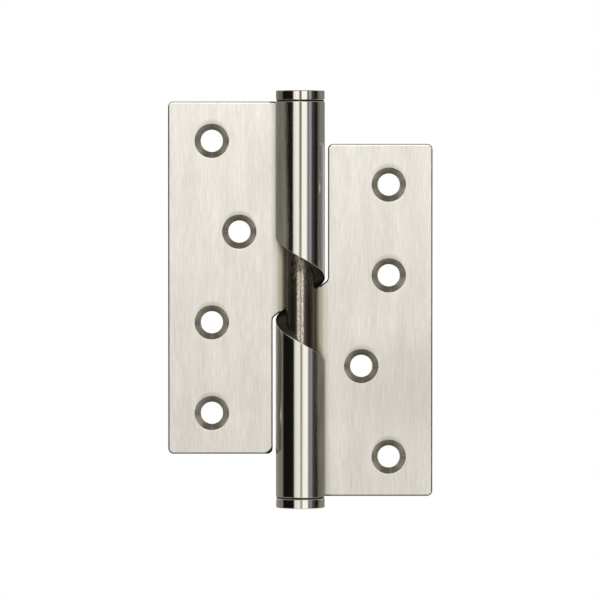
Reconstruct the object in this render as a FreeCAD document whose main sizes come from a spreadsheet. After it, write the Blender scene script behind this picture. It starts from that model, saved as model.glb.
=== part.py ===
"""Rising butt hinge: two rolled steel leaves, a pin and two caps, in millimetres.

The origin is on the pin's axis at mid height. +Z is up the pin, +X points from the door leaf to the
frame leaf, and the screw heads face -Y. The hinge stands open flat, with the door leaf raised.
"""

import FreeCAD, Part

import math
import os

import Sketcher
from FreeCAD import Placement, Rotation, Vector

# The driving sizes. Each gets a spreadsheet cell with this alias.
SIZES = {
    "leaf_length": 100.0,
    "leaf_reach": 37.5,
    "sheet_thickness": 3.0,
    "closed_gap": 2.0,
    "corner_radius": 1.5,
    "edge_rounding": 0.5,
    "bore_radius": 4.0,
    "bend_radius": 1.0,
    "seam_angle": 6.0,
    "ramp_pitch": 24.0,
    "ramp_gap": 0.2,
    "notch_gap": 0.85,
    "notch_angle": 37.0,
    "relief_angle": 65.0,
    "relief_draft": 4.0,
    "screw_hole_radius": 3.15,
    "countersink_diameter": 9.75,
    "countersink_angle": 90.0,
    "end_screw_margin": 11.375,
    "screw_shift": 0.2,
    "outer_screw_reach": 25.1,
    "inner_screw_reach": 17.3,
    "pin_clearance": 0.05,
    "pin_end_gap": 0.6,
    "pin_chamfer": 0.5,
    "cap_height": 3.2,
    "cap_inset": 0.05,
    "cap_groove_width": 0.45,
    "cap_groove_depth": 0.25,
    "cap_chamfer": 0.2,
    "spigot_length": 6.0,
    "spigot_chamfer": 0.4,
    "spigot_clearance": 0.05,
}

# Lengths that several pieces share, worked out in cells of their own.
SHARED = {
    "knuckle_radius": "=bore_radius + sheet_thickness",
    "ramp_rise": "=ramp_pitch / 2",
    "leaf_top": "=(leaf_length + ramp_rise) / 2",
    "leaf_foot": "=leaf_top - leaf_length",
    "leaf_middle": "=ramp_rise / 2",
    "leaf_front": "=closed_gap / 2",
    "screw_spacing": "=(leaf_length - 2 * end_screw_margin) / 3",
    "notch_reach": "=knuckle_radius + notch_gap",
    "relief_reach": "=knuckle_radius * sin(relief_angle * 1deg)",
    "relief_foot": "=ramp_gap / 2 - ramp_pitch * relief_angle / 360",
    "ramp_reach": "=knuckle_radius + ramp_gap",
    "spigot_end": "=leaf_top - spigot_length",
    "cap_radius": "=knuckle_radius - cap_inset",
    "cap_neck_radius": "=cap_radius - cap_groove_depth",
}

CUT_MARGIN = 1.0
OVERLAP_DEG = 6.0
PAST_SEAM_DEG = 0.5
BACK_DEG = 90.0
BACK_TO_SIDE_DEG = 270.0
RAMP_TURNS_AT_PIN = 0.75
NEAR = 0.01
AS_MODELLED = Placement()
HALF_TURN = Placement(Vector(0, 0, 0), Rotation(Vector(0, 1, 0), 180))


def make_sheet(doc):
    """Put each size in a cell of its own, named by its alias."""
    sheet = doc.addObject("Spreadsheet::Sheet", "Sizes")
    for row, (alias, value) in enumerate([*SIZES.items(), *SHARED.items()], start=1):
        sheet.set(f"A{row}", alias)
        sheet.set(f"B{row}", str(value))
        sheet.setAlias(f"B{row}", alias)
    doc.recompute()
    return sheet


def add_sketch(body, name, role):
    """A sketch flat on the body's origin plane with this role."""
    sketch = body.newObject("Sketcher::SketchObject", name)
    plane = next(f for f in body.Origin.OriginFeatures if f.Role == role)
    sketch.AttachmentSupport = [(plane, "")]
    sketch.MapMode = "FlatFace"
    return sketch


def add_feature(body, kind, name, **settings):
    """A PartDesign feature of the body with its settings."""
    feature = body.newObject(f"PartDesign::{kind}", name)
    for key, value in settings.items():
        setattr(feature, key, value)
    return feature


def drive(sketch, constraint, name, expression):
    """Add a named constraint that an expression drives."""
    index = sketch.addConstraint(constraint)
    sketch.renameConstraint(index, name)
    sketch.setExpression(f"Constraints.{name}", expression)


def number(owner, expression):
    """The value of an expression as a plain number."""
    return float(owner.evalExpression(expression))


def draw_outline(sketch, corners):
    """A closed outline of straight lines. Each corner is a name and its two expressions.

    A corner on an axis has None for that coordinate.
    """
    places = [
        Vector(*(0 if part is None else number(sketch, part) for part in corner[1:]), 0)
        for corner in corners
    ]
    for start, end in zip(places, places[1:] + places[:1]):
        sketch.addGeometry(Part.LineSegment(start, end), False)
    for line, (name, across, along) in enumerate(corners):
        following = (line + 1) % len(corners)
        sketch.addConstraint(Sketcher.Constraint("Coincident", line, 2, following, 1))
        for kind, axis, value, expression in (
            ("DistanceX", -2, places[line].x, across),
            ("DistanceY", -1, places[line].y, along),
        ):
            if expression is None:
                sketch.addConstraint(Sketcher.Constraint("PointOnObject", line, 1, axis))
            else:
                held = Sketcher.Constraint(kind, -1, 1, line, 1, value)
                drive(sketch, held, f"{name}_{kind[-1]}", expression)


def draw_leaf_section(sketch):
    """The rolled sheet's section: flat leaf, stepped bend and knuckle, open at its seam."""
    reach = number(sketch, "Sizes.leaf_reach")
    front = number(sketch, "Sizes.leaf_front")
    back = front + number(sketch, "Sizes.sheet_thickness")
    bore = number(sketch, "Sizes.bore_radius")
    knuckle = number(sketch, "Sizes.knuckle_radius")
    bend = number(sketch, "Sizes.bend_radius")
    seam = math.radians(number(sketch, "Sizes.seam_angle"))

    axis = Vector(0, 0, 0)
    to_bend = math.sqrt((knuckle + bend) ** 2 - (back + bend) ** 2)
    bend_centre = Vector(-to_bend, back + bend, 0)
    meeting = math.atan2(back + bend, -to_bend)
    seam_end = -math.pi - seam

    def arc(centre, radius, start, end):
        return Part.ArcOfCircle(Part.Circle(centre, Vector(0, 0, 1), radius), start, end)

    def on_seam(radius):
        return Vector(radius * math.cos(seam_end), radius * math.sin(seam_end), 0)

    outline = (
        Part.LineSegment(Vector(-reach, front, 0), Vector(-to_bend, front, 0)),
        arc(bend_centre, bend + back - front, -math.pi / 2, meeting - math.pi),
        arc(axis, bore, seam_end, meeting),
        Part.LineSegment(on_seam(bore), on_seam(knuckle)),
        arc(axis, knuckle, seam_end, meeting),
        arc(bend_centre, bend, -math.pi / 2, meeting - math.pi),
        Part.LineSegment(Vector(-to_bend, back, 0), Vector(-reach, back, 0)),
        Part.LineSegment(Vector(-reach, back, 0), Vector(-reach, front, 0)),
    )
    face, step, inside, lip, outside, hollow, rear, edge = (
        sketch.addGeometry(curve, False) for curve in outline
    )
    start, end, centre = 1, 2, 3
    origin = (-1, 1)
    for kind, *where in (
        ("Tangent", face, end, step, start),
        ("Tangent", step, end, inside, end),
        ("Coincident", inside, start, lip, start),
        ("Coincident", lip, end, outside, start),
        ("Tangent", outside, end, hollow, end),
        ("Tangent", hollow, start, rear, start),
        ("Coincident", rear, end, edge, start),
        ("Coincident", edge, end, face, start),
        ("Coincident", inside, centre, *origin),
        ("Coincident", outside, centre, *origin),
        ("Coincident", step, centre, hollow, centre),
        ("Horizontal", face),
        ("Horizontal", rear),
        ("Vertical", edge),
        ("PointOnObject", *origin, lip),
    ):
        sketch.addConstraint(Sketcher.Constraint(kind, *where))
    for name, constraint, expression in (
        ("bore", Sketcher.Constraint("Radius", inside, bore), "Sizes.bore_radius"),
        ("bend", Sketcher.Constraint("Radius", hollow, bend), "Sizes.bend_radius"),
        (
            "face_depth",
            Sketcher.Constraint("DistanceY", *origin, face, start, front),
            "Sizes.leaf_front",
        ),
        (
            "sheet",
            Sketcher.Constraint("DistanceY", edge, end, edge, start, back - front),
            "Sizes.sheet_thickness",
        ),
        (
            "reach",
            Sketcher.Constraint("DistanceX", edge, start, *origin, reach),
            "Sizes.leaf_reach",
        ),
    ):
        drive(sketch, constraint, name, expression)
    opening = Sketcher.Constraint("DistanceY", *origin, lip, end, on_seam(knuckle).y)
    drive(sketch, opening, "seam", "Sizes.knuckle_radius * sin(Sizes.seam_angle * 1deg)")


def edges_along_y(shape, places):
    """The names of the straight edges along Y that stand at these X and Z places."""
    names = []
    for index, edge in enumerate(shape.Edges, start=1):
        box = edge.BoundBox
        for x, z in places:
            across = abs(box.XMin - x) < NEAR and abs(box.XMax - x) < NEAR
            level = abs(box.ZMin - z) < NEAR and abs(box.ZMax - z) < NEAR
            if across and level:
                names.append(f"Edge{index}")
    return names


def face_outline(shape, depth, to_bend):
    """The names of the flat leaf's outer edges in the plane at this depth."""
    names = []
    for index, edge in enumerate(shape.Edges, start=1):
        box = edge.BoundBox
        flat = abs(box.YMin - depth) < NEAR and abs(box.YMax - depth) < NEAR
        if flat and box.XMin < -to_bend - NEAR and box.XMax < -to_bend + NEAR:
            names.append(f"Edge{index}")
    return names


def build_blank(doc, label):
    """The leaf before its ramp is cut: rolled, notched, rounded and drilled."""
    body = doc.addObject("PartDesign::Body", f"{label}_blank")

    section = add_sketch(body, f"{label}_section", "XY_Plane")
    draw_leaf_section(section)
    section.setExpression("AttachmentOffset.Base.z", "Sizes.leaf_foot")
    rolled = add_feature(body, "Pad", f"{label}_rolled", Profile=section)
    rolled.setExpression("Length", "Sizes.leaf_length")

    notch = add_sketch(body, f"{label}_notch_outline", "XZ_Plane")
    slope = "tan(Sizes.notch_angle * 1deg)"
    past_relief = f"-Sizes.relief_reach + {CUT_MARGIN}"
    past_relief_height = f"Sizes.relief_foot + {CUT_MARGIN} * {slope}"
    notch_top = f"Sizes.relief_foot - (Sizes.notch_reach - Sizes.relief_reach) * {slope}"
    below = f"Sizes.leaf_foot - {CUT_MARGIN}"
    beyond = f"Sizes.knuckle_radius + {CUT_MARGIN}"
    draw_outline(
        notch,
        (
            ("relief", past_relief, past_relief_height),
            ("corner", "-Sizes.notch_reach", notch_top),
            ("foot", "-Sizes.notch_reach", below),
            ("far_foot", beyond, below),
            ("far_top", beyond, past_relief_height),
        ),
    )
    notched = add_feature(
        body, "Pocket", f"{label}_notched", Profile=notch, Type="ThroughAll", Midplane=True
    )
    doc.recompute()

    reach = number(notch, "Sizes.leaf_reach")
    top = number(notch, "Sizes.leaf_top")
    foot = number(notch, "Sizes.leaf_foot")
    notch_reach = number(notch, "Sizes.notch_reach")
    places = [(-reach, top), (-reach, foot), (-notch_reach, foot)]
    places.append((-notch_reach, number(notch, notch_top)))
    cornered = add_feature(
        body,
        "Fillet",
        f"{label}_corners",
        Base=(notched, edges_along_y(notched.Shape, places)),
    )
    cornered.setExpression("Radius", "Sizes.corner_radius")
    doc.recompute()

    to_bend = -section.getPoint(0, 2).x
    outline = face_outline(cornered.Shape, number(notch, "Sizes.leaf_front"), to_bend)
    softened = add_feature(body, "Fillet", f"{label}_softened", Base=(cornered, outline))
    softened.setExpression("Radius", "Sizes.edge_rounding")
    doc.recompute()

    centres = add_sketch(body, f"{label}_screw_centres", "XZ_Plane")
    centres.setExpression("AttachmentOffset.Base.z", "-Sizes.leaf_front")
    for name, reach_alias, spacings in (
        ("top", "outer_screw_reach", 1.5),
        ("upper", "inner_screw_reach", 0.5),
        ("lower", "outer_screw_reach", -0.5),
        ("foot", "outer_screw_reach", -1.5),
    ):
        across = f"-Sizes.{reach_alias}"
        along = f"Sizes.leaf_middle + Sizes.screw_shift + Sizes.screw_spacing * {spacings}"
        centre = Vector(number(centres, across), number(centres, along), 0)
        radius = number(centres, "Sizes.screw_hole_radius")
        circle = centres.addGeometry(Part.Circle(centre, Vector(0, 0, 1), radius), False)
        held = Sketcher.Constraint("Radius", circle, radius)
        drive(centres, held, f"{name}_radius", "Sizes.screw_hole_radius")
        held = Sketcher.Constraint("DistanceX", -1, 1, circle, 3, centre.x)
        drive(centres, held, f"{name}_across", across)
        held = Sketcher.Constraint("DistanceY", -1, 1, circle, 3, centre.y)
        drive(centres, held, f"{name}_along", along)
    doc.recompute()

    drilled = add_feature(
        body,
        "Hole",
        f"{label}_screw_holes",
        Profile=centres,
        ThreadType="None",
        DepthType="ThroughAll",
        HoleCutType="Countersink",
        HoleCutCustomValues=True,
    )
    drilled.setExpression("Diameter", "2 * Sizes.screw_hole_radius")
    drilled.setExpression("HoleCutDiameter", "Sizes.countersink_diameter")
    drilled.setExpression("HoleCutCountersinkAngle", "Sizes.countersink_angle")
    body.Tip = drilled
    return body


def add_helix(doc, name, radius, from_back, sweep, foot):
    """A left-handed helix of the ramp's pitch, from its lowest point up."""
    helix = doc.addObject("Part::Helix", name)
    helix.LocalCoord = "Left-handed"
    helix.setExpression("Radius", radius)
    helix.setExpression("Pitch", "Sizes.ramp_pitch")
    helix.setExpression("Height", f"Sizes.ramp_pitch * ({sweep}) / 360")
    helix.Placement = Placement(Vector(0, 0, 0), Rotation(Vector(0, 0, 1), BACK_DEG))
    helix.setExpression("Placement.Rotation.Angle", f"{BACK_DEG} + {from_back}")
    helix.setExpression("Placement.Base.z", foot)
    return helix


def extrude(doc, name, base, direction, length):
    """Everything that the base sweeps along a direction, half each way for a sheet."""
    swept = doc.addObject("Part::Extrusion", name)
    swept.Base = base
    swept.DirMode = "Custom"
    swept.Dir = direction
    swept.Symmetric = direction.y != 0
    swept.setExpression("LengthFwd", length)
    return swept


def build_ramp_cut(doc, label):
    """What the ramp leaves free: the space under the helicoid from the seam to the back."""
    sweep = f"{BACK_TO_SIDE_DEG} + Sizes.seam_angle + {OVERLAP_DEG + PAST_SEAM_DEG}"
    foot = f"Sizes.ramp_gap / 2 - Sizes.ramp_pitch * {OVERLAP_DEG} / 360"
    inner_radius = f"Sizes.bore_radius - {CUT_MARGIN}"
    inner = add_helix(doc, f"{label}_ramp_inside", inner_radius, OVERLAP_DEG, sweep, foot)
    outer = add_helix(doc, f"{label}_ramp_outside", "Sizes.ramp_reach", OVERLAP_DEG, sweep, foot)
    ramp = doc.addObject("Part::RuledSurface", f"{label}_ramp")
    ramp.Curve1 = (inner, ["Edge1"])
    ramp.Curve2 = (outer, ["Edge1"])
    ramp.Orientation = "Forward"
    return extrude(doc, f"{label}_ramp_cut", ramp, Vector(0, 0, -1), "2 * Sizes.ramp_pitch")


def build_relief_cut(doc, label):
    """The same helix cut through from the front, where the leaf's bend begins.

    The cut drops a little towards the front, so no light shows between the two leaves.
    """
    edge = add_helix(
        doc,
        f"{label}_relief_edge",
        "Sizes.knuckle_radius + Sizes.ramp_gap / 4",
        "Sizes.relief_angle",
        f"Sizes.relief_angle + {OVERLAP_DEG}",
        "Sizes.relief_foot",
    )
    draft = math.radians(number(edge, "Sizes.relief_draft"))
    direction = Vector(0, math.cos(draft), math.sin(draft))
    curtain = extrude(doc, f"{label}_relief", edge, direction, "4 * Sizes.knuckle_radius")
    return extrude(doc, f"{label}_relief_cut", curtain, Vector(0, 0, -1), "Sizes.ramp_pitch")


def build_leaf(doc, label, placement):
    """One leaf with its knuckle, ramp, notch and screw holes."""
    blank = build_blank(doc, label)
    ramped = doc.addObject("Part::Cut", f"{label}_ramped")
    ramped.Base = blank
    ramped.Tool = build_ramp_cut(doc, label)
    leaf = doc.addObject("Part::Cut", label)
    leaf.Base = ramped
    leaf.Tool = build_relief_cut(doc, label)
    leaf.Refine = True
    leaf.Label = label
    leaf.Placement = placement
    return leaf


def turn_profile(body, name, corners):
    """A solid of revolution about Z from an outline of radii and heights."""
    profile = add_sketch(body, f"{name}_profile", "XZ_Plane")
    draw_outline(profile, corners)
    return add_feature(
        body, "Revolution", f"{name}_turned", Profile=profile, ReferenceAxis=(profile, ["V_Axis"])
    )


def build_pin(doc):
    """The pin: tight in the lower knuckle, running in the upper one."""
    body = doc.addObject("PartDesign::Body", "hinge_pin")
    foot = "-Sizes.spigot_end"
    top = "Sizes.spigot_end - Sizes.ramp_rise - Sizes.pin_end_gap"
    shoulder = f"-{RAMP_TURNS_AT_PIN} * Sizes.ramp_pitch - Sizes.pin_chamfer"
    running = "Sizes.bore_radius - Sizes.pin_clearance"
    turn_profile(
        body,
        "pin",
        (
            ("foot_centre", None, foot),
            ("foot", "Sizes.bore_radius - Sizes.pin_chamfer", foot),
            ("foot_edge", "Sizes.bore_radius", f"{foot} + Sizes.pin_chamfer"),
            ("shoulder", "Sizes.bore_radius", shoulder),
            ("shank", running, shoulder),
            ("top_edge", running, f"{top} - Sizes.pin_chamfer"),
            ("top", f"{running} - Sizes.pin_chamfer", top),
            ("top_centre", None, top),
        ),
    )
    return body


def build_cap(doc, label, spigot_radius, placement):
    """A turned cap: its spigot fills the bore's mouth and its neck seats on the knuckle."""
    body = doc.addObject("PartDesign::Body", label)
    groove = "Sizes.leaf_top + Sizes.cap_groove_width"
    crown = "Sizes.leaf_top + Sizes.cap_height"
    turned = turn_profile(
        body,
        label,
        (
            ("end_centre", None, "Sizes.spigot_end"),
            ("end", f"{spigot_radius} - Sizes.spigot_chamfer", "Sizes.spigot_end"),
            ("end_edge", spigot_radius, "Sizes.spigot_end + Sizes.spigot_chamfer"),
            ("root", spigot_radius, "Sizes.leaf_top"),
            ("neck_seat", "Sizes.cap_neck_radius", "Sizes.leaf_top"),
            ("neck", "Sizes.cap_neck_radius", groove),
            ("head_seat", "Sizes.cap_radius", groove),
            ("head", "Sizes.cap_radius", crown),
            ("crown", None, crown),
        ),
    )
    doc.recompute()
    radius = number(turned, "Sizes.cap_radius")
    rims = [
        f"Edge{index}"
        for index, edge in enumerate(turned.Shape.Edges, start=1)
        if isinstance(edge.Curve, Part.Circle) and abs(edge.Curve.Radius - radius) < 0.001
    ]
    chamfered = add_feature(body, "Chamfer", f"{label}_rims", Base=(turned, rims))
    chamfered.setExpression("Size", "Sizes.cap_chamfer")
    body.Placement = placement
    return body


def check_document(doc, subparts):
    """Stop if an object failed or a sub-part has no sound solid."""
    for thing in doc.Objects:
        if any(word in thing.State for word in ("Invalid", "Error")):
            raise RuntimeError(f"{thing.Label} failed: {thing.State}")
    for subpart in subparts:
        shape = subpart.Shape
        if shape.isNull() or not shape.isValid() or len(shape.Solids) != 1:
            raise RuntimeError(f"{subpart.Label} isn't one sound solid")


def main():
    """Build the hinge and write each sub-part to a file of its own."""
    doc = FreeCAD.newDocument("rising_butt_hinge")
    make_sheet(doc)
    subparts = [
        build_leaf(doc, "door_leaf", AS_MODELLED),
        build_leaf(doc, "frame_leaf", HALF_TURN),
        build_pin(doc),
        build_cap(doc, "top_cap", "Sizes.bore_radius - Sizes.spigot_clearance", AS_MODELLED),
        build_cap(doc, "bottom_cap", "Sizes.bore_radius", HALF_TURN),
    ]
    doc.recompute()
    check_document(doc, subparts)
    os.makedirs("parts", exist_ok=True)
    for subpart in subparts:
        subpart.Shape.exportStep(f"parts/{subpart.Label}.step")
        box = subpart.Shape.BoundBox
        print(f"{subpart.Label}: {subpart.Shape.Volume:.1f} mm3, z {box.ZMin:.2f} to {box.ZMax:.2f}")


main()
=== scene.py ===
"""The rising butt hinge, dressed and lit as it was photographed, in metres.

The hinge hangs open and flat in a light tent. Its screw heads' side faces -Y, towards the camera.
The solids keep their shape, and this script gives them their finish.
"""

import logging
from dataclasses import dataclass
from enum import Enum
from typing import Any

import bmesh
import bpy
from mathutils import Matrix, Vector


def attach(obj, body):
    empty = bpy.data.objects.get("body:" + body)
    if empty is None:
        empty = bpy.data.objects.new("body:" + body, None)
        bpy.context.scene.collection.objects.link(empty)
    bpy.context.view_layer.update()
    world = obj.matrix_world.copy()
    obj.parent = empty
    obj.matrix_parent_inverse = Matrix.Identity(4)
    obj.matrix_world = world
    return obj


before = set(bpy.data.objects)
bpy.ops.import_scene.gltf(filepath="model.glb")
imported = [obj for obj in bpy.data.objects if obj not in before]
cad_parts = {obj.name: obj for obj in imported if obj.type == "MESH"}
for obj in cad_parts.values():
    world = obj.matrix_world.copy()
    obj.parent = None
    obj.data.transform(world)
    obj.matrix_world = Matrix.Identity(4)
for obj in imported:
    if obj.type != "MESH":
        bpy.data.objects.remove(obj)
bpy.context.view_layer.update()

MM = 0.001
LOG = logging.getLogger("rising_butt_hinge")

Colour = tuple[float, float, float, float]
Place = tuple[float, float, float]
Stops = list[tuple[float, Colour]]
Source = bpy.types.Node | bpy.types.NodeSocket
Sources = dict[str, Source]
Inputs = dict[int | str, Any]

WHITE: Colour = (1.0, 1.0, 1.0, 1.0)
# The colour sockets of a Mix node, which share their names with its plain ones.
A_COLOUR = 6
B_COLOUR = 7


class Side(Enum):
    """Which leaf a piece belongs to, by the sign of its X."""

    DOOR = -1
    FRAME = 1


def linear(hex_colour: str) -> Colour:
    """Turn an sRGB colour into the linear one that a shader takes.

    Args:
        hex_colour: six hex digits, such as "dcd8ce".

    Returns:
        Linear red, green and blue, and an alpha of 1.
    """
    parts = (int(hex_colour[i : i + 2], 16) / 255 for i in (0, 2, 4))
    red, green, blue = (
        part / 12.92 if part <= 0.04045 else ((part + 0.055) / 1.055) ** 2.4 for part in parts
    )
    return red, green, blue, 1.0


def add_node(
    tree: bpy.types.NodeTree, kind: str, inputs: Inputs | None = None, **settings: Any
) -> bpy.types.Node:
    """Add one node with its settings and its links.

    Args:
        tree: the node tree that gets the node.
        kind: the node's type without its "ShaderNode".
        inputs: for each input by its name or number, a value, an output to link, or a node, whose
            first output in use is linked.
        settings: the node's own properties.

    Returns:
        The new node.
    """
    node = tree.nodes.new(f"ShaderNode{kind}")
    for name, value in settings.items():
        setattr(node, name, value)
    for socket, value in (inputs or {}).items():
        if isinstance(value, bpy.types.Node):
            value = next(output for output in value.outputs if output.enabled)
        if isinstance(value, bpy.types.NodeSocket):
            tree.links.new(value, node.inputs[socket])
        else:
            node.inputs[socket].default_value = value
    return node


def set_stops(ramp: bpy.types.ColorRamp, stops: Stops) -> None:
    """Give a colour ramp its stops.

    Args:
        ramp: a ramp with its two first stops.
        stops: each stop's place from 0 to 1 and its linear colour, in order.
    """
    while len(ramp.elements) < len(stops):
        ramp.elements.new(1.0)
    for element, (place, colour) in zip(ramp.elements, stops):
        element.position = place
        element.color = colour


def new_material(name: str) -> tuple[bpy.types.Material, bpy.types.NodeTree]:
    """Make a material with an empty node tree.

    Args:
        name: the material's name.

    Returns:
        The material and its tree.
    """
    material = bpy.data.materials.new(name)
    material.use_nodes = True
    material.node_tree.nodes.clear()
    return material, material.node_tree


def mesh_object(name: str, mesh: bmesh.types.BMesh) -> bpy.types.Object:
    """Turn a finished bmesh into an object of the scene.

    Args:
        name: the object's name.
        mesh: the bmesh, which is freed.

    Returns:
        The linked object.
    """
    data = bpy.data.meshes.new(name)
    mesh.to_mesh(data)
    mesh.free()
    made = bpy.data.objects.new(name, data)
    bpy.context.scene.collection.objects.link(made)
    return made


def measure_place(tree: bpy.types.NodeTree) -> Sources:
    """Measure a place on the hinge in millimetres.

    Args:
        tree: the material's tree.

    Returns:
        The "place", its "x", "y" and "z", and its "reach" from the pin's axis.
    """
    metres = add_node(tree, "TexCoord").outputs["Object"]
    place = add_node(tree, "VectorMath", {0: metres, "Scale": 1 / MM}, operation="SCALE")
    axes = add_node(tree, "SeparateXYZ", {0: place}).outputs
    flat = add_node(tree, "CombineXYZ", {"X": axes["X"], "Y": axes["Y"]})
    reach = add_node(tree, "VectorMath", {0: flat}, operation="LENGTH")
    return {"place": place, "x": axes["X"], "y": axes["Y"], "z": axes["Z"], "reach": reach}


@dataclass(frozen=True)
class Streaks:
    """Noise drawn out along the pin: a streak's width and length in millimetres."""

    width: float
    length: float
    detail: float = 3.0

    def build(self, tree: bpy.types.NodeTree, place: Source) -> bpy.types.Node:
        """Add the noise.

        Args:
            tree: the material's tree.
            place: the place in millimetres.

        Returns:
            The noise, from 0 to 1.
        """
        across, along = 1 / self.width, 1 / self.length
        drawn = add_node(
            tree, "VectorMath", {0: place, 1: (across, across, along)}, operation="MULTIPLY"
        )
        return add_node(tree, "TexNoise", {"Vector": drawn, "Scale": 1.0, "Detail": self.detail})


@dataclass(frozen=True)
class Fade:
    """How a layer comes in along a measure, from where it starts to where its share is full."""

    start: float
    full: float
    share: float = 1.0
    before: float = 0.0

    def along(self, measure: Source) -> Inputs:
        """Give the inputs with which a Map Range node follows the fade along a measure."""
        return {
            "Value": measure,
            "From Min": self.start,
            "From Max": self.full,
            "To Min": self.before,
            "To Max": self.share,
        }


@dataclass(frozen=True)
class Photograph:
    """Where the photograph was taken from, from its scale and its eye level."""

    image_px: float = 600.0
    centre_px: tuple[float, float] = (300.3, 299.1)
    px_per_mm: float = 3.527
    distance: float = 1.7
    eye_height: float = 0.059
    sensor_width: float = 36.0

    def add_camera(self) -> bpy.types.Object:
        """Place the camera so that the hinge's centre falls on its own pixel.

        Returns:
            The scene's camera.
        """
        metres_per_px = MM / self.px_per_mm
        middle = self.image_px / 2
        across, down = self.centre_px
        aim = Vector(((middle - across) * metres_per_px, 0.0, (down - middle) * metres_per_px))
        eye = Vector((aim.x, -self.distance, self.eye_height))
        data = bpy.data.cameras.new("camera")
        data.sensor_width = self.sensor_width
        data.lens = self.sensor_width * (eye - aim).length / (self.image_px * metres_per_px)
        camera = bpy.data.objects.new("camera", data)
        camera.location = eye
        camera.rotation_mode = "QUATERNION"
        camera.rotation_quaternion = (aim - eye).to_track_quat("-Z", "Y")
        bpy.context.scene.collection.objects.link(camera)
        bpy.context.scene.camera = camera
        return camera


@dataclass(frozen=True)
class Panel:
    """One upright strip of the tent, with its two edges in degrees from the camera.

    Its light differs a little between the height of the hinge's top and that of its foot.
    """

    start: float
    end: float
    top: str
    foot: str
    strength: float = 1.0

    def light(self, level: str) -> Colour:
        """Work out the strip's linear light at the "top" or the "foot"."""
        red, green, blue, _ = linear(getattr(self, level))
        return red * self.strength, green * self.strength, blue * self.strength, 1.0


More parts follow.
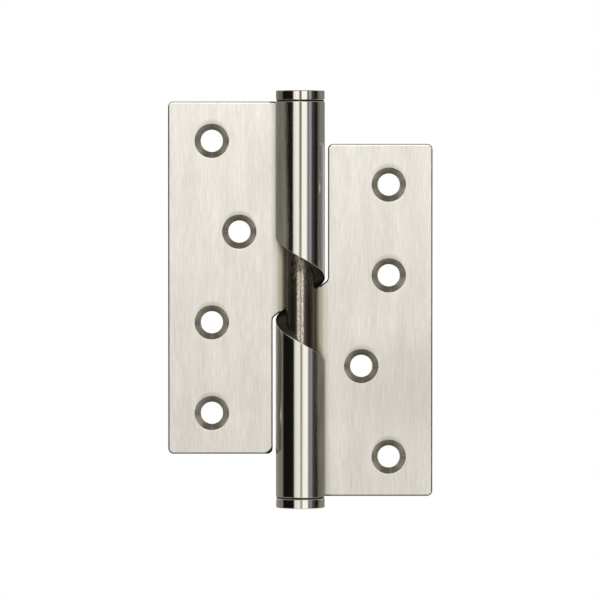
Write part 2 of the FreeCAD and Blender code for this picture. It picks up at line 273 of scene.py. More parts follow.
@dataclass(frozen=True)
class LightTent:
    """A round tent of cloth with lit panels and black flags, which only gloss shows.

    The lens looks in through a slot, and the panels lean a little to one side. They stand round
    the whole tent at the hinge's own height. Over and under it they stand only in front: the rest
    of the cloth is bare and pale there, under a darker lid. Angles and heights are in degrees,
    seen from the hinge.
    """

    radius: float = 2.4
    half_height: float = 3.2
    segments: int = 96
    lean: float = 0.6
    panels: tuple[Panel, ...] = (
        Panel(-180, -169, "fffefb", "f6f5f1", 1.5),
        Panel(-165, -136, "868581", "9a9995"),
        Panel(-126, -124, "76746f", "8f8d88"),
        Panel(-116, -93, "6b6965", "85837e"),
        Panel(-90.8, -34, "17140f", "14120e"),
        Panel(-29, -22, "f4f3ef", "e4e3df", 1.13),
        Panel(-16, -4.4, "fffefb", "f2f1ed", 1.13),
        Panel(-2.8, 6.2, "6c6459", "b7b1a5"),
        Panel(7.8, 31.7, "fffefb", "fdfcf8", 1.19),
        Panel(34.2, 40.5, "706b6c", "8a8790"),
        Panel(41.8, 52.6, "a8a7b7", "8c8b99"),
        Panel(57.1, 66, "45403b", "4a4540"),
        Panel(74, 86.6, "211d19", "1e1b17"),
        Panel(94.1, 98, "6f6d6a", "75736f"),
        Panel(112, 165, "8a8884", "8c8a86"),
        Panel(169, 180, "fffefb", "f6f5f1", 1.5),
    )
    foot_to_top: Fade = Fade(-5.4, 1.4)
    slot_centre: float = 1.7
    slot_reach: float = 9.0
    slot_ends: tuple[tuple[float, float], ...] = ((-12, 1), (-8, 0), (3.5, 0), (6, 1))
    closed_colour: str = "fffefb"
    panel_ends: tuple[tuple[float, float], ...] = ((-17, 1), (-11, 0), (8, 0), (14, 1))
    past_front: Fade = Fade(36.0, 46.0)
    bare_colour: str = "dcdad4"
    lid: Fade = Fade(48.0, 56.0)
    lid_colour: str = "55514a"
    strengths: tuple[tuple[float, float], ...] = (
        (-34, 0.95),
        (-27, 0.7),
        (-20, 0.65),
        (-13, 0.82),
        (-5.5, 1.0),
        (2.5, 1.0),
        (8.5, 2.1),
    )

    def build(self) -> bpy.types.Object:
        """Build the tent as a closed drum.

        Returns:
            The tent. Only glossy rays meet it.
        """
        mesh = bmesh.new()
        bmesh.ops.create_cone(
            mesh,
            cap_ends=True,
            segments=self.segments,
            radius1=self.radius,
            radius2=self.radius,
            depth=2 * self.half_height,
        )
        bmesh.ops.reverse_faces(mesh, faces=mesh.faces)
        tent = mesh_object("light_tent", mesh)
        tent.data.materials.append(self.cloth())
        tent.visible_camera = False
        tent.visible_diffuse = False
        tent.visible_shadow = False
        return tent

    def cloth(self) -> bpy.types.Material:
        """Light each strip of the drum by its angle and its height.

        Returns:
            The tent's material.
        """
        material, tree = new_material("lit_tent_cloth")
        place = add_node(tree, "TexCoord").outputs["Object"]
        axes = add_node(tree, "SeparateXYZ", {0: place}).outputs
        towards = add_node(tree, "Math", {0: axes["Y"], 1: -1.0}, operation="MULTIPLY")
        angle = add_node(tree, "Math", {0: axes["X"], 1: towards}, operation="ARCTAN2")
        turn = add_node(tree, "Math", {0: angle}, operation="DEGREES")
        rise = add_node(tree, "Math", {0: axes["Z"], 1: self.radius}, operation="ARCTAN2")
        height = add_node(tree, "Math", {0: rise}, operation="DEGREES")
        leaning = add_node(
            tree, "Math", {0: height, 1: self.lean, 2: turn}, operation="MULTIPLY_ADD"
        )
        aside = add_node(tree, "Math", {0: turn}, operation="ABSOLUTE")

        round_tent = add_node(tree, "MapRange", Fade(-180.0, 180.0).along(leaning))
        up = add_node(tree, "MapRange", Fade(-90.0, 90.0).along(height))
        ramps = {
            "foot": (round_tent, self.panel_stops("foot")),
            "top": (round_tent, self.panel_stops("top")),
            "slot ends": (up, self.grey_stops(self.slot_ends)),
            "panel ends": (up, self.grey_stops(self.panel_ends)),
            "strength": (up, self.grey_stops(self.strengths)),
        }
        lit = {}
        for name, (measure, stops) in ramps.items():
            lit[name] = add_node(tree, "ValToRGB", {0: measure})
            set_stops(lit[name].color_ramp, stops)

        high = add_node(tree, "MapRange", self.foot_to_top.along(height))
        in_slot = add_node(
            tree,
            "Math",
            {0: leaning, 1: self.slot_centre, 2: self.slot_reach},
            operation="COMPARE",
        )
        closed = add_node(tree, "Math", {0: lit["slot ends"], 1: in_slot}, operation="MULTIPLY")
        aside = add_node(tree, "MapRange", self.past_front.along(aside))
        bare = add_node(tree, "Math", {0: lit["panel ends"], 1: aside}, operation="MULTIPLY")
        lid = add_node(tree, "MapRange", self.lid.along(height))
        light = lit["foot"]
        for share, colour in (
            (high, lit["top"]),
            (closed, linear(self.closed_colour)),
            (bare, linear(self.bare_colour)),
            (lid, linear(self.lid_colour)),
        ):
            light = add_node(
                tree,
                "Mix",
                {"Factor": share, A_COLOUR: light, B_COLOUR: colour},
                data_type="RGBA",
            )
        strength = add_node(tree, "Mix", {"Factor": bare, "A": lit["strength"], "B": 1.0})
        glow = add_node(tree, "Emission", {"Color": light, "Strength": strength})
        add_node(tree, "OutputMaterial", {"Surface": glow})
        return material

    def panel_stops(self, level: str) -> Stops:
        """Work out a ramp's stops, one at each edge of a panel.

        Args:
            level: "top" or "foot".

        Returns:
            Each stop's place round the tent and its light.
        """
        return [
            ((edge + 180) / 360, panel.light(level))
            for panel in self.panels
            for edge in (panel.start, panel.end)
        ]

    @staticmethod
    def grey_stops(levels: tuple[tuple[float, float], ...]) -> Stops:
        """Work out a ramp's stops from heights in degrees and a grey at each."""
        return [((height + 90) / 180, (grey, grey, grey, 1.0)) for height, grey in levels]


@dataclass(frozen=True)
class Floor:
    """A pale floor under the hanging hinge, which fades to the white background.

    It fades by the distance from the hinge, in metres.
    """

    drop: float = 0.12
    radius: float = 1.6
    segments: int = 96
    fading: Fade = Fade(0.12, 0.25)
    colour: str = "f1f0ec"

    def build(self) -> bpy.types.Object:
        """Build the floor as a flat disc.

        Returns:
            The floor.
        """
        mesh = bmesh.new()
        bmesh.ops.create_circle(mesh, cap_ends=True, segments=self.segments, radius=self.radius)
        bmesh.ops.translate(mesh, verts=mesh.verts, vec=(0, 0, -self.drop))
        floor = mesh_object("floor", mesh)
        floor.data.materials.append(self.paper())
        floor.visible_glossy = False
        return floor

    def paper(self) -> bpy.types.Material:
        """Dress the floor as matt paper that keeps the shadow near the hinge.

        Returns:
            The floor's material.
        """
        material, tree = new_material("matt_white_paper")
        place = add_node(tree, "TexCoord").outputs["Object"]
        reach = add_node(tree, "VectorMath", {0: place}, operation="LENGTH")
        away = add_node(
            tree, "MapRange", self.fading.along(reach), interpolation_type="SMOOTHSTEP"
        )
        seen = add_node(tree, "LightPath").outputs["Is Camera Ray"]
        faded = add_node(tree, "Math", {0: away, 1: seen}, operation="MULTIPLY")
        matt = add_node(tree, "BsdfDiffuse", {"Color": linear(self.colour)})
        white = add_node(tree, "Emission", {"Color": WHITE, "Strength": 1.0})
        blend = add_node(tree, "MixShader", {0: faded, 1: matt, 2: white})
        add_node(tree, "OutputMaterial", {"Surface": blend})
        return material


def add_background() -> None:
    """Make the world plain white, which is the backdrop and the soft light of the room."""
    world = bpy.data.worlds.new("white_background")
    world.use_nodes = True
    world.node_tree.nodes.clear()
    white = add_node(world.node_tree, "Background", {"Color": WHITE, "Strength": 1.0})
    add_node(world.node_tree, "OutputWorld", {"Surface": white})
    bpy.context.scene.world = world


@dataclass(frozen=True)
class BrushedSteel:
    """Stainless steel with a No. 4 belt finish: pale warm grey, with fine grain along the pin.

    The belt leaves shallow scratches, so the flat leaves look satin. The knuckles are polished
    finer and mirror the tent, but the belt has run over them on the side where the leaf begins.
    The sheared edges are duller, with painted shade where they face down and painted light where
    they face up. Oil, steel dust and painted shade darken the ramps and the root beside the pin.

    Lengths and places are in millimetres. A reach is from the pin's axis.
    """

    side: Side
    belt_marks: Fade
    # A share of 0 leaves a mark out.
    # Painted shade, faint, low at the leaf's outer edge.
    patches: Fade = Fade(21.0, 6.0, 0.0)
    # Painted shade on the leaf's rolled corner.
    cornered: Fade = Fade(3.48, 3.66, 0.0)

    # The leaf with its grain, and the painted shade laid on it.
    colour: str = "f0ede7"
    dark_colour: str = "d9d6ce"
    painted_shade_colour: str = "b9b5aa"
    # The knuckle: polished, run over by the belt, and worn in streaks.
    knuckle_colour: str = "e3e0d8"
    belted_colour: str = "bbb8b0"
    worn_colour: str = "86827a"
    # The sheared edges, by the way they face: down, aside and up. Those facing down carry painted
    # shade, and those facing up painted light.
    shaded_low_edge_colour: str = "3a352e"
    edge_colour: str = "8a857b"
    lit_high_edge_colour: str = "d2cec4"
    # Dirt and painted shade in the notch, painted shade on the rolled corner, and oil, dust and
    # painted shade from the leaf's root to the ramp's rim.
    dirt_and_shade_colour: str = "2b2722"
    root_colour: str = "b7af9c"
    dust_and_shade_colour: str = "8a8373"
    oil_and_shade_colour: str = "413a31"
    rim_colour: str = "1c1815"
    # The countersinks, cut on a drill, with a painted sheen on their left and right sides.
    countersunk_colour: str = "9b978d"
    cone_side_sheen_colour: str = "c2beb5"
    ring_colour: str = "8e8a80"

    knuckle_roughness: float = 0.1
    belted_roughness: float = 0.48
    leaf_roughness: float = 0.34
    edge_roughness: float = 0.24
    ramp_roughness: float = 0.42
    countersunk_roughness: float = 0.27
    dust_oil_and_shade_metallic: float = 0.6
    grain_pull: float = 0.5

    # Real belt scratches are some 0.05 mm wide. These are drawn coarser than real, so they show.
    scratches: Streaks = Streaks(0.36, 4.5)
    clouds: Streaks = Streaks(3.2, 20.0, detail=1.0)
    waves: Streaks = Streaks(9.0, 20.0, detail=0.0)
    cloud_share: float = 0.6
    scratch_depth: float = 0.004
    polished_share: float = 0.12
    belted_share: float = 0.5
    wave_depth: float = 0.012
    edge_radius: float = 0.18
    edge_samples: int = 6

    # Along the reach, from the flat leaf to the pin.
    by_notch: Fade = Fade(9.2, 8.3)
    # Painted shade on the leaf where it runs into the knuckle.
    shaded: Fade = Fade(8.7, 7.1, 0.4)
    leaf_begins: Fade = Fade(7.05, 7.3)
    # From the root in: oil, dust and painted shade.
    at_root: Fade = Fade(6.93, 6.2)
    in_knuckle: Fade = Fade(6.9, 6.8)
    by_rim: Fade = Fade(6.1, 6.6)
    dusty_and_shaded: Fade = Fade(5.6, 4.7)

    # Along how far a surface faces one way: to the front, up or down, and aside.
    sheared: Fade = Fade(0.99, 0.9)
    level: Fade = Fade(0.25, 0.45)
    level_edge: Fade = Fade(0.08, 0.25)
    # Painted sheen on the countersinks' left and right sides.
    cone_side_sheen: Fade = Fade(0.25, 0.6)

    # Along the grain, which goes from 0 to 1.6.
    shade: Fade = Fade(1.12, 0.5)
    streaked: Fade = Fade(0.92, 0.66, 0.4)

    # The depth of the leaf's front face and of what lies behind it.
    face_depth: float = 1.0
    face_tolerance: float = 0.03
    sheet_front: float = 0.98
    under_face: Fade = Fade(1.02, 1.06)

    # How the belt marks' edge moves with the grain, away from the middle and behind the pin.
    belt_raggedness: float = 0.7
    belt_lean: float = 0.015
    belt_behind: float = 1.3

    # The screw holes, and the painted shade that arcs over each.
    countersink_reach: float = 5.0
    outer_reach: float = 25.1
    inner_reach: float = 17.3
    first_screw: float = 44.825
    screw_spacing: float = 25.75
    ring_scale: float = 2.4
    ring_detail: float = 2.0
    ringed: Fade = Fade(0.4, 0.62, 0.8)
    screw_shade_rise: float = 1.6
    screw_shaded: Fade = Fade(4.9, 3.7, 0.6)

    # Painted shade low at the leaf's outer edge, and on the leaf's corner that the press rolled
    # over.
    low_outer_shade_centre: Place = (38.0, 0.0, -24.5)
    low_outer_shade_shape: Place = (0.55, 0.0, 1.0)
    corner_centre: Place = (11.35, 0.0, 40.35)

    def build(self) -> bpy.types.Material:
        """Build the finish.

        Returns:
            The material.
        """
        material, tree = new_material(f"brushed_stainless_steel_{self.side.name.lower()}")
        at = self.measure(tree)
        marks = self.mark_rolling(tree, at)
        marks |= self.mark_dirt_and_shade(tree, at)
        marks |= self.mark_spots(tree, at)
        marks |= self.mark_screws(tree, at)
        shader = add_node(
            tree,
            "BsdfPrincipled",
            {
                "Base Color": self.paint(tree, at, marks),
                "Metallic": self.tarnish(tree, marks),
                "Roughness": self.roughen(tree, marks),
                "Anisotropic": self.grain_pull,
                "Tangent": add_node(tree, "Tangent", direction_type="RADIAL", axis="Z"),
                "Normal": self.scratch(tree, at, marks),
            },
        )
        add_node(tree, "OutputMaterial", {"Surface": shader})
        return material

    def measure(self, tree: bpy.types.NodeTree) -> Sources:
        """Measure the place, how the surface faces, and the grain.

        Args:
            tree: the material's tree.

        Returns:
            Each measure by its name.
        """
        at = measure_place(tree)
        normal = add_node(tree, "TexCoord").outputs["Normal"]
        facing = add_node(tree, "SeparateXYZ", {0: normal}).outputs
        rounded = add_node(
            tree, "Bevel", {"Radius": self.edge_radius * MM}, samples=self.edge_samples
        )
        rounded_facing = add_node(tree, "SeparateXYZ", {0: rounded}).outputs
        at |= {"rounded": rounded, "facing up": facing["Z"]}
        for name, measure in (
            ("from middle", at["z"]),
            ("sideways", facing["X"]),
            ("frontal", facing["Y"]),
            ("level", facing["Z"]),
            ("rounded level", rounded_facing["Z"]),
        ):
            at[name] = add_node(tree, "Math", {0: measure}, operation="ABSOLUTE")
        at["behind"] = add_node(tree, "Math", {0: at["y"], 1: 0.0}, operation="MAXIMUM")
        at["scratches"] = self.scratches.build(tree, at["place"])
        at["waves"] = self.waves.build(tree, at["place"])
        at["grain"] = add_node(
            tree,
            "Math",
            {0: self.clouds.build(tree, at["place"]), 1: self.cloud_share, 2: at["scratches"]},
            operation="MULTIPLY_ADD",
        )
        return at

    def mark_rolling(self, tree: bpy.types.NodeTree, at: Sources) -> Sources:
        """Mark the leaf, the rolled knuckle, where the belt ran over it, and the sheared edges.

        Args:
            tree: the material's tree.
            at: the measures.

        Returns:
            Each mark by its name, from 0 to 1.
        """
        on_face = add_node(
            tree,
            "Math",
            {0: at["y"], 1: self.face_depth, 2: self.face_tolerance},
            operation="COMPARE",
        )
        off_knuckle = add_node(tree, "MapRange", self.leaf_begins.along(at["reach"]))
        leaf = add_node(tree, "Math", {0: off_knuckle, 1: on_face}, operation="MAXIMUM")
        knuckle = add_node(tree, "Math", {0: 1.0, 1: leaf}, operation="SUBTRACT")
        leafward = add_node(
            tree, "Math", {0: at["x"], 1: float(self.side.value)}, operation="MULTIPLY"
        )
        for measure, share in (
            (at["grain"], self.belt_raggedness),
            (at["from middle"], -self.belt_lean),
            (at["behind"], self.belt_behind),
        ):
            leafward = add_node(
                tree, "Math", {0: measure, 1: share, 2: leafward}, operation="MULTIPLY_ADD"
            )
        run_over = add_node(tree, "MapRange", self.belt_marks.along(leafward))
        belted = add_node(tree, "Math", {0: run_over, 1: knuckle}, operation="MULTIPLY")
        streaked = add_node(tree, "MapRange", self.streaked.along(at["grain"]))
        worn = add_node(tree, "Math", {0: streaked, 1: belted}, operation="MULTIPLY")
        sheared = add_node(tree, "MapRange", self.sheared.along(at["frontal"]))
        edge = add_node(tree, "Math", {0: sheared, 1: leaf}, operation="MULTIPLY")
        return {
            "leaf": leaf,
            "knuckle": knuckle,
            "run over": run_over,
            "belted": belted,
            "worn": worn,
            "edge": edge,
        }

    def mark_dirt_and_shade(self, tree: bpy.types.NodeTree, at: Sources) -> Sources:
        """Mark the oil, dust and painted shade round the pin, in the notch, on the ramp and on its
        rim, and the painted shade on the leaf beside the knuckle.

        Args:
            tree: the material's tree.
            at: the measures.

        Returns:
            Each mark by its name, from 0 to 1.
        """
        inside, level, by_rim, by_notch, level_edge, root = (
            add_node(tree, "MapRange", fade.along(at[measure]))
            for fade, measure in (
                (self.in_knuckle, "reach"),
                (self.level, "level"),
                (self.by_rim, "reach"),
                (self.by_notch, "reach"),
                (self.level_edge, "rounded level"),
                (self.at_root, "reach"),
            )
        )
        # Painted shade on the leaf beside the knuckle, and dust with painted shade near the pin.
        shaded, dusty_and_shaded = (
            add_node(tree, "MapRange", fade.along(at["reach"]), interpolation_type="SMOOTHSTEP")
            for fade in (self.shaded, self.dusty_and_shaded)
        )
        # Oil and painted shade on the ramps, and a black line of painted shade along their rim.
        ramp = add_node(tree, "Math", {0: inside, 1: level}, operation="MULTIPLY")
        rim = add_node(tree, "Math", {0: by_rim, 1: ramp}, operation="MULTIPLY")
        in_sheet = add_node(
            tree, "Math", {0: at["y"], 1: self.sheet_front}, operation="GREATER_THAN"
        )
        # Dirt and painted shade on the notch's level edges.
        notch = add_node(tree, "Math", {0: by_notch, 1: level_edge}, operation="MULTIPLY")
        notch = add_node(tree, "Math", {0: notch, 1: in_sheet}, operation="MULTIPLY")
        return {
            "shaded": shaded,
            "root": root,
            "dusty_and_shaded": dusty_and_shaded,
            "notch": notch,
            "ramp": ramp,
            "rim": rim,
        }

    def mark_spots(self, tree: bpy.types.NodeTree, at: Sources) -> Sources:
        """Mark the painted shade low at the leaf's outer edge and on its rolled corner.

        Args:
            tree: the material's tree.
            at: the measures.

        Returns:
            Each mark by its name, from 0 to 1.
        """
        low_outer_shade = add_node(
            tree, "VectorMath", {0: at["place"], 1: self.low_outer_shade_centre}, operation="SUBTRACT"
        )
        low_outer_shade = add_node(tree, "VectorMath", {0: low_outer_shade, 1: self.low_outer_shade_shape}, operation="MULTIPLY")
        low_outer_shade = add_node(tree, "VectorMath", {0: low_outer_shade}, operation="LENGTH")
        low_outer_shade = add_node(
            tree, "MapRange", self.patches.along(low_outer_shade), interpolation_type="SMOOTHSTEP"
        )

        way = float(self.side.value)
        centre = [way * part for part in self.corner_centre]
        past = add_node(tree, "VectorMath", {0: at["place"], 1: centre}, operation="SUBTRACT")
        past = add_node(tree, "VectorMath", {0: past, 1: (-way, 0.0, way)}, operation="MULTIPLY")
        past = add_node(tree, "VectorMath", {0: past, 1: (0.0, 0.0, 0.0)}, operation="MAXIMUM")
        past_end = add_node(tree, "SeparateXYZ", {0: past}).outputs["Z"]
        past_end = add_node(tree, "Math", {0: past_end, 1: 0.0}, operation="GREATER_THAN")
        past = add_node(tree, "VectorMath", {0: past}, operation="LENGTH")
        corner = add_node(tree, "MapRange", self.cornered.along(past))
        corner = add_node(tree, "Math", {0: corner, 1: past_end}, operation="MULTIPLY")
        return {"low_outer_shade": low_outer_shade, "corner": corner}

    def mark_screws(self, tree: bpy.types.NodeTree, at: Sources) -> Sources:
        """Mark the countersinks, their turning rings and the painted shade over them.

        Args:
            tree: the material's tree.
            at: the measures.

        Returns:
            Each mark by its name, from 0 to 1.
        """
        nearest = self.nearest_screw(tree, at["place"], 0.0)
        near = add_node(
            tree, "Math", {0: nearest, 1: self.countersink_reach}, operation="LESS_THAN"
        )
        under_face = add_node(tree, "MapRange", self.under_face.along(at["y"]))
        cone = add_node(tree, "Math", {0: near, 1: under_face}, operation="MULTIPLY")
        rings = add_node(
            tree,
            "TexNoise",
            {"W": nearest, "Scale": self.ring_scale, "Detail": self.ring_detail},
            noise_dimensions="1D",
        )
        rings = add_node(tree, "MapRange", self.ringed.along(rings))
        rings = add_node(tree, "Math", {0: rings, 1: cone}, operation="MULTIPLY")
        # A painted sheen on the countersink's left and right sides.
        cone_side_sheen = add_node(tree, "MapRange", self.cone_side_sheen.along(at["sideways"]))
        cone_side_sheen = add_node(tree, "Math", {0: cone_side_sheen, 1: cone}, operation="MULTIPLY")
        # Painted shade in an arc over each screw hole.
        over_screw = self.nearest_screw(tree, at["place"], self.screw_shade_rise)
        screw_shade = add_node(
            tree, "MapRange", self.screw_shaded.along(over_screw), interpolation_type="SMOOTHSTEP"
        )
        return {"cone": cone, "cone side sheen": cone_side_sheen, "rings": rings, "screw_shade": screw_shade}

    def nearest_screw(
        self, tree: bpy.types.NodeTree, place: Source, rise: float
    ) -> bpy.types.Node:
        """Measure how far the nearest screw hole's centre is.

        Args:
            tree: the material's tree.
            place: the place in millimetres.
            rise: how far over each centre the distance is measured from.

        Returns:
            The distance in millimetres.
        """
        way = self.side.value
        reaches = (self.outer_reach, self.inner_reach, self.outer_reach, self.outer_reach)
        centres = [
            (
                way * reach,
                self.face_depth,
                -way * (self.first_screw - row * self.screw_spacing) + rise,
            )
            for row, reach in enumerate(reaches)
        ]
        nearest, *others = (
            add_node(tree, "VectorMath", {0: place, 1: centre}, operation="DISTANCE")
            for centre in centres
        )
        for other in others:
            nearest = add_node(tree, "Math", {0: nearest, 1: other}, operation="MINIMUM")
        return nearest

    def paint(self, tree: bpy.types.NodeTree, at: Sources, marks: Sources) -> bpy.types.Node:
        """Lay the colours over each other.

        Args:
            tree: the material's tree.
            at: the measures.
            marks: where each layer shows.

        Returns:
            The colour.
        """
        # The edges get painted shade where they face down and painted light where they face up.
        turned_up = add_node(tree, "MapRange", Fade(-1.0, 1.0).along(at["facing up"]))
        edge_colour = add_node(tree, "ValToRGB", {0: turned_up})
        set_stops(
            edge_colour.color_ramp,
            [
                (0.0, linear(self.shaded_low_edge_colour)),
                (0.5, linear(self.edge_colour)),
                (1.0, linear(self.lit_high_edge_colour)),
            ],
        )
        shade = add_node(tree, "MapRange", self.shade.along(at["grain"]))
        painted = add_node(
            tree,
            "Mix",
            {
                "Factor": shade,
                A_COLOUR: linear(self.colour),
                B_COLOUR: linear(self.dark_colour),
            },
            data_type="RGBA",
        )
        for mark, colour in (
            # Painted shade beside the knuckle, over the screw holes and low at the outer edge.
            ("shaded", linear(self.painted_shade_colour)),
            ("screw_shade", linear(self.painted_shade_colour)),
            ("low_outer_shade", linear(self.painted_shade_colour)),
            ("knuckle", linear(self.knuckle_colour)),
            ("belted", linear(self.belted_colour)),
            ("worn", linear(self.worn_colour)),
            ("edge", edge_colour),
            # Painted shade on the rolled corner.
            ("corner", linear(self.dirt_and_shade_colour)),
            # Oil, dust and painted shade round the pin, in the notch, on the ramp and its rim.
            ("root", linear(self.root_colour)),
            ("dusty_and_shaded", linear(self.dust_and_shade_colour)),
            ("notch", linear(self.dirt_and_shade_colour)),
            ("ramp", linear(self.oil_and_shade_colour)),
            ("rim", linear(self.rim_colour)),
            ("cone", linear(self.countersunk_colour)),
            ("cone side sheen", linear(self.cone_side_sheen_colour)),
            ("rings", linear(self.ring_colour)),
        ):
            painted = add_node(
                tree,
                "Mix",
                {"Factor": marks[mark], A_COLOUR: painted, B_COLOUR: colour},
                data_type="RGBA",
            )
        return painted

    def tarnish(self, tree: bpy.types.NodeTree, marks: Sources) -> bpy.types.Node:
        """Make the steel less metallic under the dust, the oil and the painted shade round the pin
        and on the ramps.

        Args:
            tree: the material's tree.
            marks: where each layer shows.

        Returns:
            The metallic value.
        """
        dust_oil_and_shade = add_node(tree, "Math", {0: marks["dusty_and_shaded"], 1: marks["ramp"]}, operation="MAXIMUM")
        return add_node(
            tree, "MapRange", {"Value": dust_oil_and_shade, "To Min": 1.0, "To Max": self.dust_oil_and_shade_metallic}
        )

    def roughen(self, tree: bpy.types.NodeTree, marks: Sources) -> bpy.types.Node:
        """Lay the roughness of each part over that of the polished knuckle.

        Args:
            tree: the material's tree.
            marks: where each layer shows.

        Returns:
            The roughness.
        """
        roughness: Any = self.knuckle_roughness
        for mark, value in (
            ("run over", self.belted_roughness),
            ("leaf", self.leaf_roughness),
            ("edge", self.edge_roughness),
            ("root", self.ramp_roughness),
            ("ramp", self.ramp_roughness),
            ("cone", self.countersunk_roughness),
        ):
            roughness = add_node(tree, "Mix", {"Factor": marks[mark], "A": roughness, "B": value})
        return roughness

    def scratch(self, tree: bpy.types.NodeTree, at: Sources, marks: Sources) -> bpy.types.Node:
        """Round the edges, scratch the brushed parts and let the sheet wave a little.

        Args:
            tree: the material's tree.
            at: the measures.
            marks: where each layer shows.

        Returns:
            The surface's normal.
        """
        brushed = add_node(
            tree, "MapRange", {"Value": marks["run over"], "To Max": self.belted_share}
        )
        brushed = add_node(tree, "Math", {0: marks["leaf"], 1: brushed}, operation="MAXIMUM")
        brushed = add_node(
            tree, "Math", {0: brushed, 1: marks["edge"]}, operation="SUBTRACT", use_clamp=True
        )
        polished_depth = self.polished_share * self.scratch_depth
        depth = add_node(
            tree,
            "MapRange",
            {"Value": brushed, "To Min": polished_depth, "To Max": self.scratch_depth},
        )
        waved = add_node(tree, "Math", {0: at["waves"], 1: self.wave_depth}, operation="MULTIPLY")
        height = add_node(
            tree, "Math", {0: at["scratches"], 1: depth, 2: waved}, operation="MULTIPLY_ADD"
        )
        return add_node(
            tree,
            "Bump",
            {"Strength": 1.0, "Distance": MM, "Height": height, "Normal": at["rounded"]},
        )


@dataclass(frozen=True)
class TurnedSteel:
    """Stainless steel from the lathe, polished: crisp reflections, and dirt in the joint line.

    The joint line is the groove between the cap's head and the knuckle. Lengths are in
    millimetres.
    """

    colour: str = "e6e3da"
    dirt_and_shade_colour: str = "3d3830"
    roughness: float = 0.075
    dirt_roughness: float = 0.5
    joint_top: float = 56.5
    joint_reach: float = 6.83

    def build(self) -> bpy.types.Material:
        """Build the finish.

        Returns:
            The material.
        """
        material, tree = new_material("turned_stainless_steel")
        at = measure_place(tree)
        height = add_node(tree, "Math", {0: at["z"]}, operation="ABSOLUTE")
        below = add_node(tree, "Math", {0: height, 1: self.joint_top}, operation="LESS_THAN")
        sunk = add_node(tree, "Math", {0: at["reach"], 1: self.joint_reach}, operation="LESS_THAN")
        joint = add_node(tree, "Math", {0: below, 1: sunk}, operation="MULTIPLY")
        colour = add_node(
            tree,
            "Mix",
            {
                "Factor": joint,
                A_COLOUR: linear(self.colour),
                B_COLOUR: linear(self.dirt_and_shade_colour),
            },
            data_type="RGBA",
        )
        roughness = add_node(
            tree, "Mix", {"Factor": joint, "A": self.roughness, "B": self.dirt_roughness}
        )
        shader = add_node(
            tree,
            "BsdfPrincipled",
            {"Base Color": colour, "Metallic": 1.0, "Roughness": roughness},
        )
        add_node(tree, "OutputMaterial", {"Surface": shader})
        return material


@dataclass(frozen=True)
class RunningSteel:
    """Steel that has run in its knuckle: dark with oil, and scuffed bright.

    The bright scuffs gather down the front and the back as a painted highlight, where the pin's
    highlight falls. Oil with painted shade darkens it towards the top and is smeared under the
    upper ramp's edge. Lengths are in millimetres.
    """

    # The bright scuffs carry a painted highlight, and the oil a painted shade.
    dark_colour: str = "676056"
    scuff_and_highlight_colour: str = "cfc8b8"
    oil_and_shade_colour: str = "8d8578"
    dark_roughness: float = 0.26
    bright_roughness: float = 0.14
    oily_roughness: float = 0.42
    scuffs: Streaks = Streaks(0.2, 0.5)
    dents: Streaks = Streaks(0.3, 6.0)
    smears: Streaks = Streaks(0.7, 1.5)
    dent_depth: float = 0.0004
    # Along X, how much more of the pin is scuffed: a painted highlight down its front and back.
    # Along Z, how much less: oil and painted shade towards the top.
    rubbed_and_highlit: Fade = Fade(1.5, 0.7, 0.1, before=-0.35)
    oiled_and_shaded: Fade = Fade(9.5, 6.5, 0.0, before=-0.3)
    scuffed: Fade = Fade(0.4, 0.64)
    patches: Fade = Fade(0.44, 0.66, 0.8)
    # Oil and painted shade, growing towards the upper ramp.
    under_ramp: Fade = Fade(0.0, 7.0)

    def build(self) -> bpy.types.Material:
        """Build the finish.

        Returns:
            The material.
        """
        material, tree = new_material("scuffed_pin_steel")
        at = measure_place(tree)
        aside = add_node(tree, "Math", {0: at["x"]}, operation="ABSOLUTE")
        rubbed_and_highlit = add_node(tree, "MapRange", self.rubbed_and_highlit.along(aside))
        oiled_and_shaded = add_node(tree, "MapRange", self.oiled_and_shaded.along(at["z"]))
        worn = self.scuffs.build(tree, at["place"])
        for share in (oiled_and_shaded, rubbed_and_highlit):
            worn = add_node(tree, "Math", {0: worn, 1: share}, operation="ADD")
        worn = add_node(tree, "MapRange", self.scuffed.along(worn))
        smears = self.smears.build(tree, at["place"])
        patches = add_node(tree, "MapRange", self.patches.along(smears))
        under_ramp = add_node(tree, "MapRange", self.under_ramp.along(at["z"]))
        patches = add_node(tree, "Math", {0: patches, 1: under_ramp}, operation="MULTIPLY")

        colour: Any = linear(self.dark_colour)
        roughness: Any = self.dark_roughness
        for share, over, value in (
            (worn, self.scuff_and_highlight_colour, self.bright_roughness),
            (patches, self.oil_and_shade_colour, self.oily_roughness),
        ):
            colour = add_node(
                tree,
                "Mix",
                {"Factor": share, A_COLOUR: colour, B_COLOUR: linear(over)},
                data_type="RGBA",
            )
            roughness = add_node(tree, "Mix", {"Factor": share, "A": roughness, "B": value})
        dents = self.dents.build(tree, at["place"])
        height = add_node(tree, "Math", {0: dents, 1: self.dent_depth}, operation="MULTIPLY")
        dented = add_node(tree, "Bump", {"Strength": 1.0, "Distance": MM, "Height": height})
        shader = add_node(
            tree,
            "BsdfPrincipled",
            {"Base Color": colour, "Metallic": 1.0, "Roughness": roughness, "Normal": dented},
        )
        add_node(tree, "OutputMaterial", {"Surface": shader})
        return material


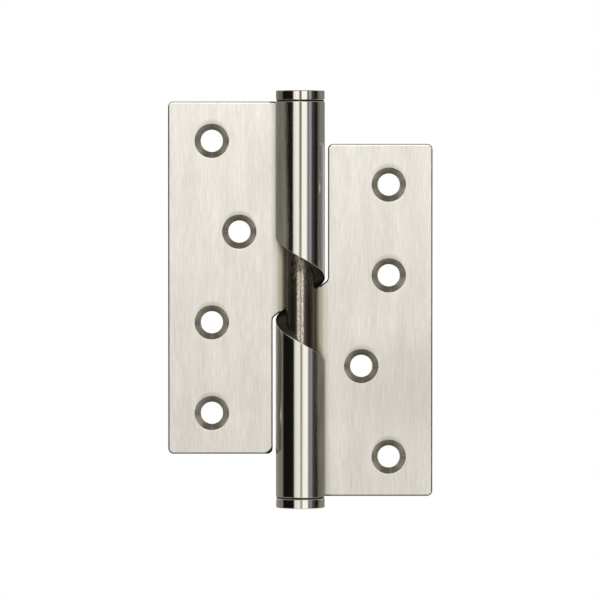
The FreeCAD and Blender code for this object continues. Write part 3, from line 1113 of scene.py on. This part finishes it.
@dataclass(frozen=True)
class GapShadeBead:
    """A black bead along the notch's edge, where the ramps pass it: painted shade filling the gap.

    Its points are in millimetres, each with the bead's radius there.
    """

    points: tuple[tuple[float, float, float, float], ...] = (
        (3.9, 1.5, 2.28, 0.12),
        (4.6, 1.42, 2.84, 0.17),
        (5.3, 1.34, 3.4, 0.18),
        (5.95, 1.3, 3.93, 0.17),
        (6.45, 1.3, 4.28, 0.08),
    )
    colour: str = "1d1915"
    roughness: float = 0.45
    roughness_change: float = 0.1
    lump_size: float = 0.8
    lump_detail: float = 2.0
    lump_depth: float = 0.04

    def build(self) -> bpy.types.Object:
        """Build the bead as a round curve that tapers to its ends.

        Returns:
            The bead, which stays with the frame leaf.
        """
        data = bpy.data.curves.new("gap_shade_bead", "CURVE")
        data.dimensions = "3D"
        data.bevel_depth = MM
        data.bevel_resolution = 3
        data.use_fill_caps = True
        spline = data.splines.new("NURBS")
        spline.points.add(len(self.points) - 1)
        for point, (x, y, z, radius) in zip(spline.points, self.points):
            point.co = (x * MM, y * MM, z * MM, 1.0)
            point.radius = radius
        spline.order_u = 3
        spline.use_endpoint_u = True
        bead = bpy.data.objects.new("gap_shade_bead", data)
        bpy.context.scene.collection.objects.link(bead)
        data.materials.append(self.finish())
        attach(bead, "frame_side")
        return bead

    def finish(self) -> bpy.types.Material:
        """Dress the bead black and a little lumpy, as painted shade in the gap.

        Returns:
            The material.
        """
        material, tree = new_material("black_gap_shade_bead")
        place = add_node(tree, "TexCoord").outputs["Object"]
        scale = 1 / (self.lump_size * MM)
        lumps = add_node(
            tree, "TexNoise", {"Vector": place, "Scale": scale, "Detail": self.lump_detail}
        )
        height = add_node(tree, "Math", {0: lumps, 1: self.lump_depth}, operation="MULTIPLY")
        lumpy = add_node(tree, "Bump", {"Strength": 1.0, "Distance": MM, "Height": height})
        smooth = self.roughness - self.roughness_change
        rough = self.roughness + self.roughness_change
        roughness = add_node(tree, "MapRange", {"Value": lumps, "To Min": smooth, "To Max": rough})
        shader = add_node(
            tree,
            "BsdfPrincipled",
            {"Base Color": linear(self.colour), "Roughness": roughness, "Normal": lumpy},
        )
        add_node(tree, "OutputMaterial", {"Surface": shader})
        return material


def dress(node: str, material: bpy.types.Material) -> None:
    """Give a node of the frame its finish.

    Args:
        node: the node's name.
        material: the finish.
    """
    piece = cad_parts[node]
    piece.data.materials.clear()
    piece.data.materials.append(material)
    LOG.info("%s: %s, %d faces", node, material.name, len(piece.data.polygons))


def main() -> None:
    """Build the stage and dress each piece of the hinge."""
    logging.basicConfig(level=logging.INFO, format="%(name)s: %(message)s")
    bpy.context.scene.view_settings.view_transform = "Standard"
    Photograph().add_camera()
    add_background()
    LightTent().build()
    Floor().build()

    # The door leaf's corner and the frame leaf's outer edge get painted shade.
    door_finish = BrushedSteel(Side.DOOR, belt_marks=Fade(2.95, 4.7), cornered=Fade(3.48, 3.66))
    frame_finish = BrushedSteel(
        Side.FRAME, belt_marks=Fade(4.0, 5.7), patches=Fade(21.0, 6.0, 0.27)
    )
    cap_finish = TurnedSteel().build()
    dress("door_leaf", door_finish.build())
    dress("frame_leaf", frame_finish.build())
    dress("hinge_pin", RunningSteel().build())
    dress("top_cap", cap_finish)
    dress("bottom_cap", cap_finish)
    # A black bead as painted shade in the notch's gap.
    bead = GapShadeBead().build()
    LOG.info("%s: %s", bead.name, bead.data.materials[0].name)


if __name__ == "__main__":
    main()
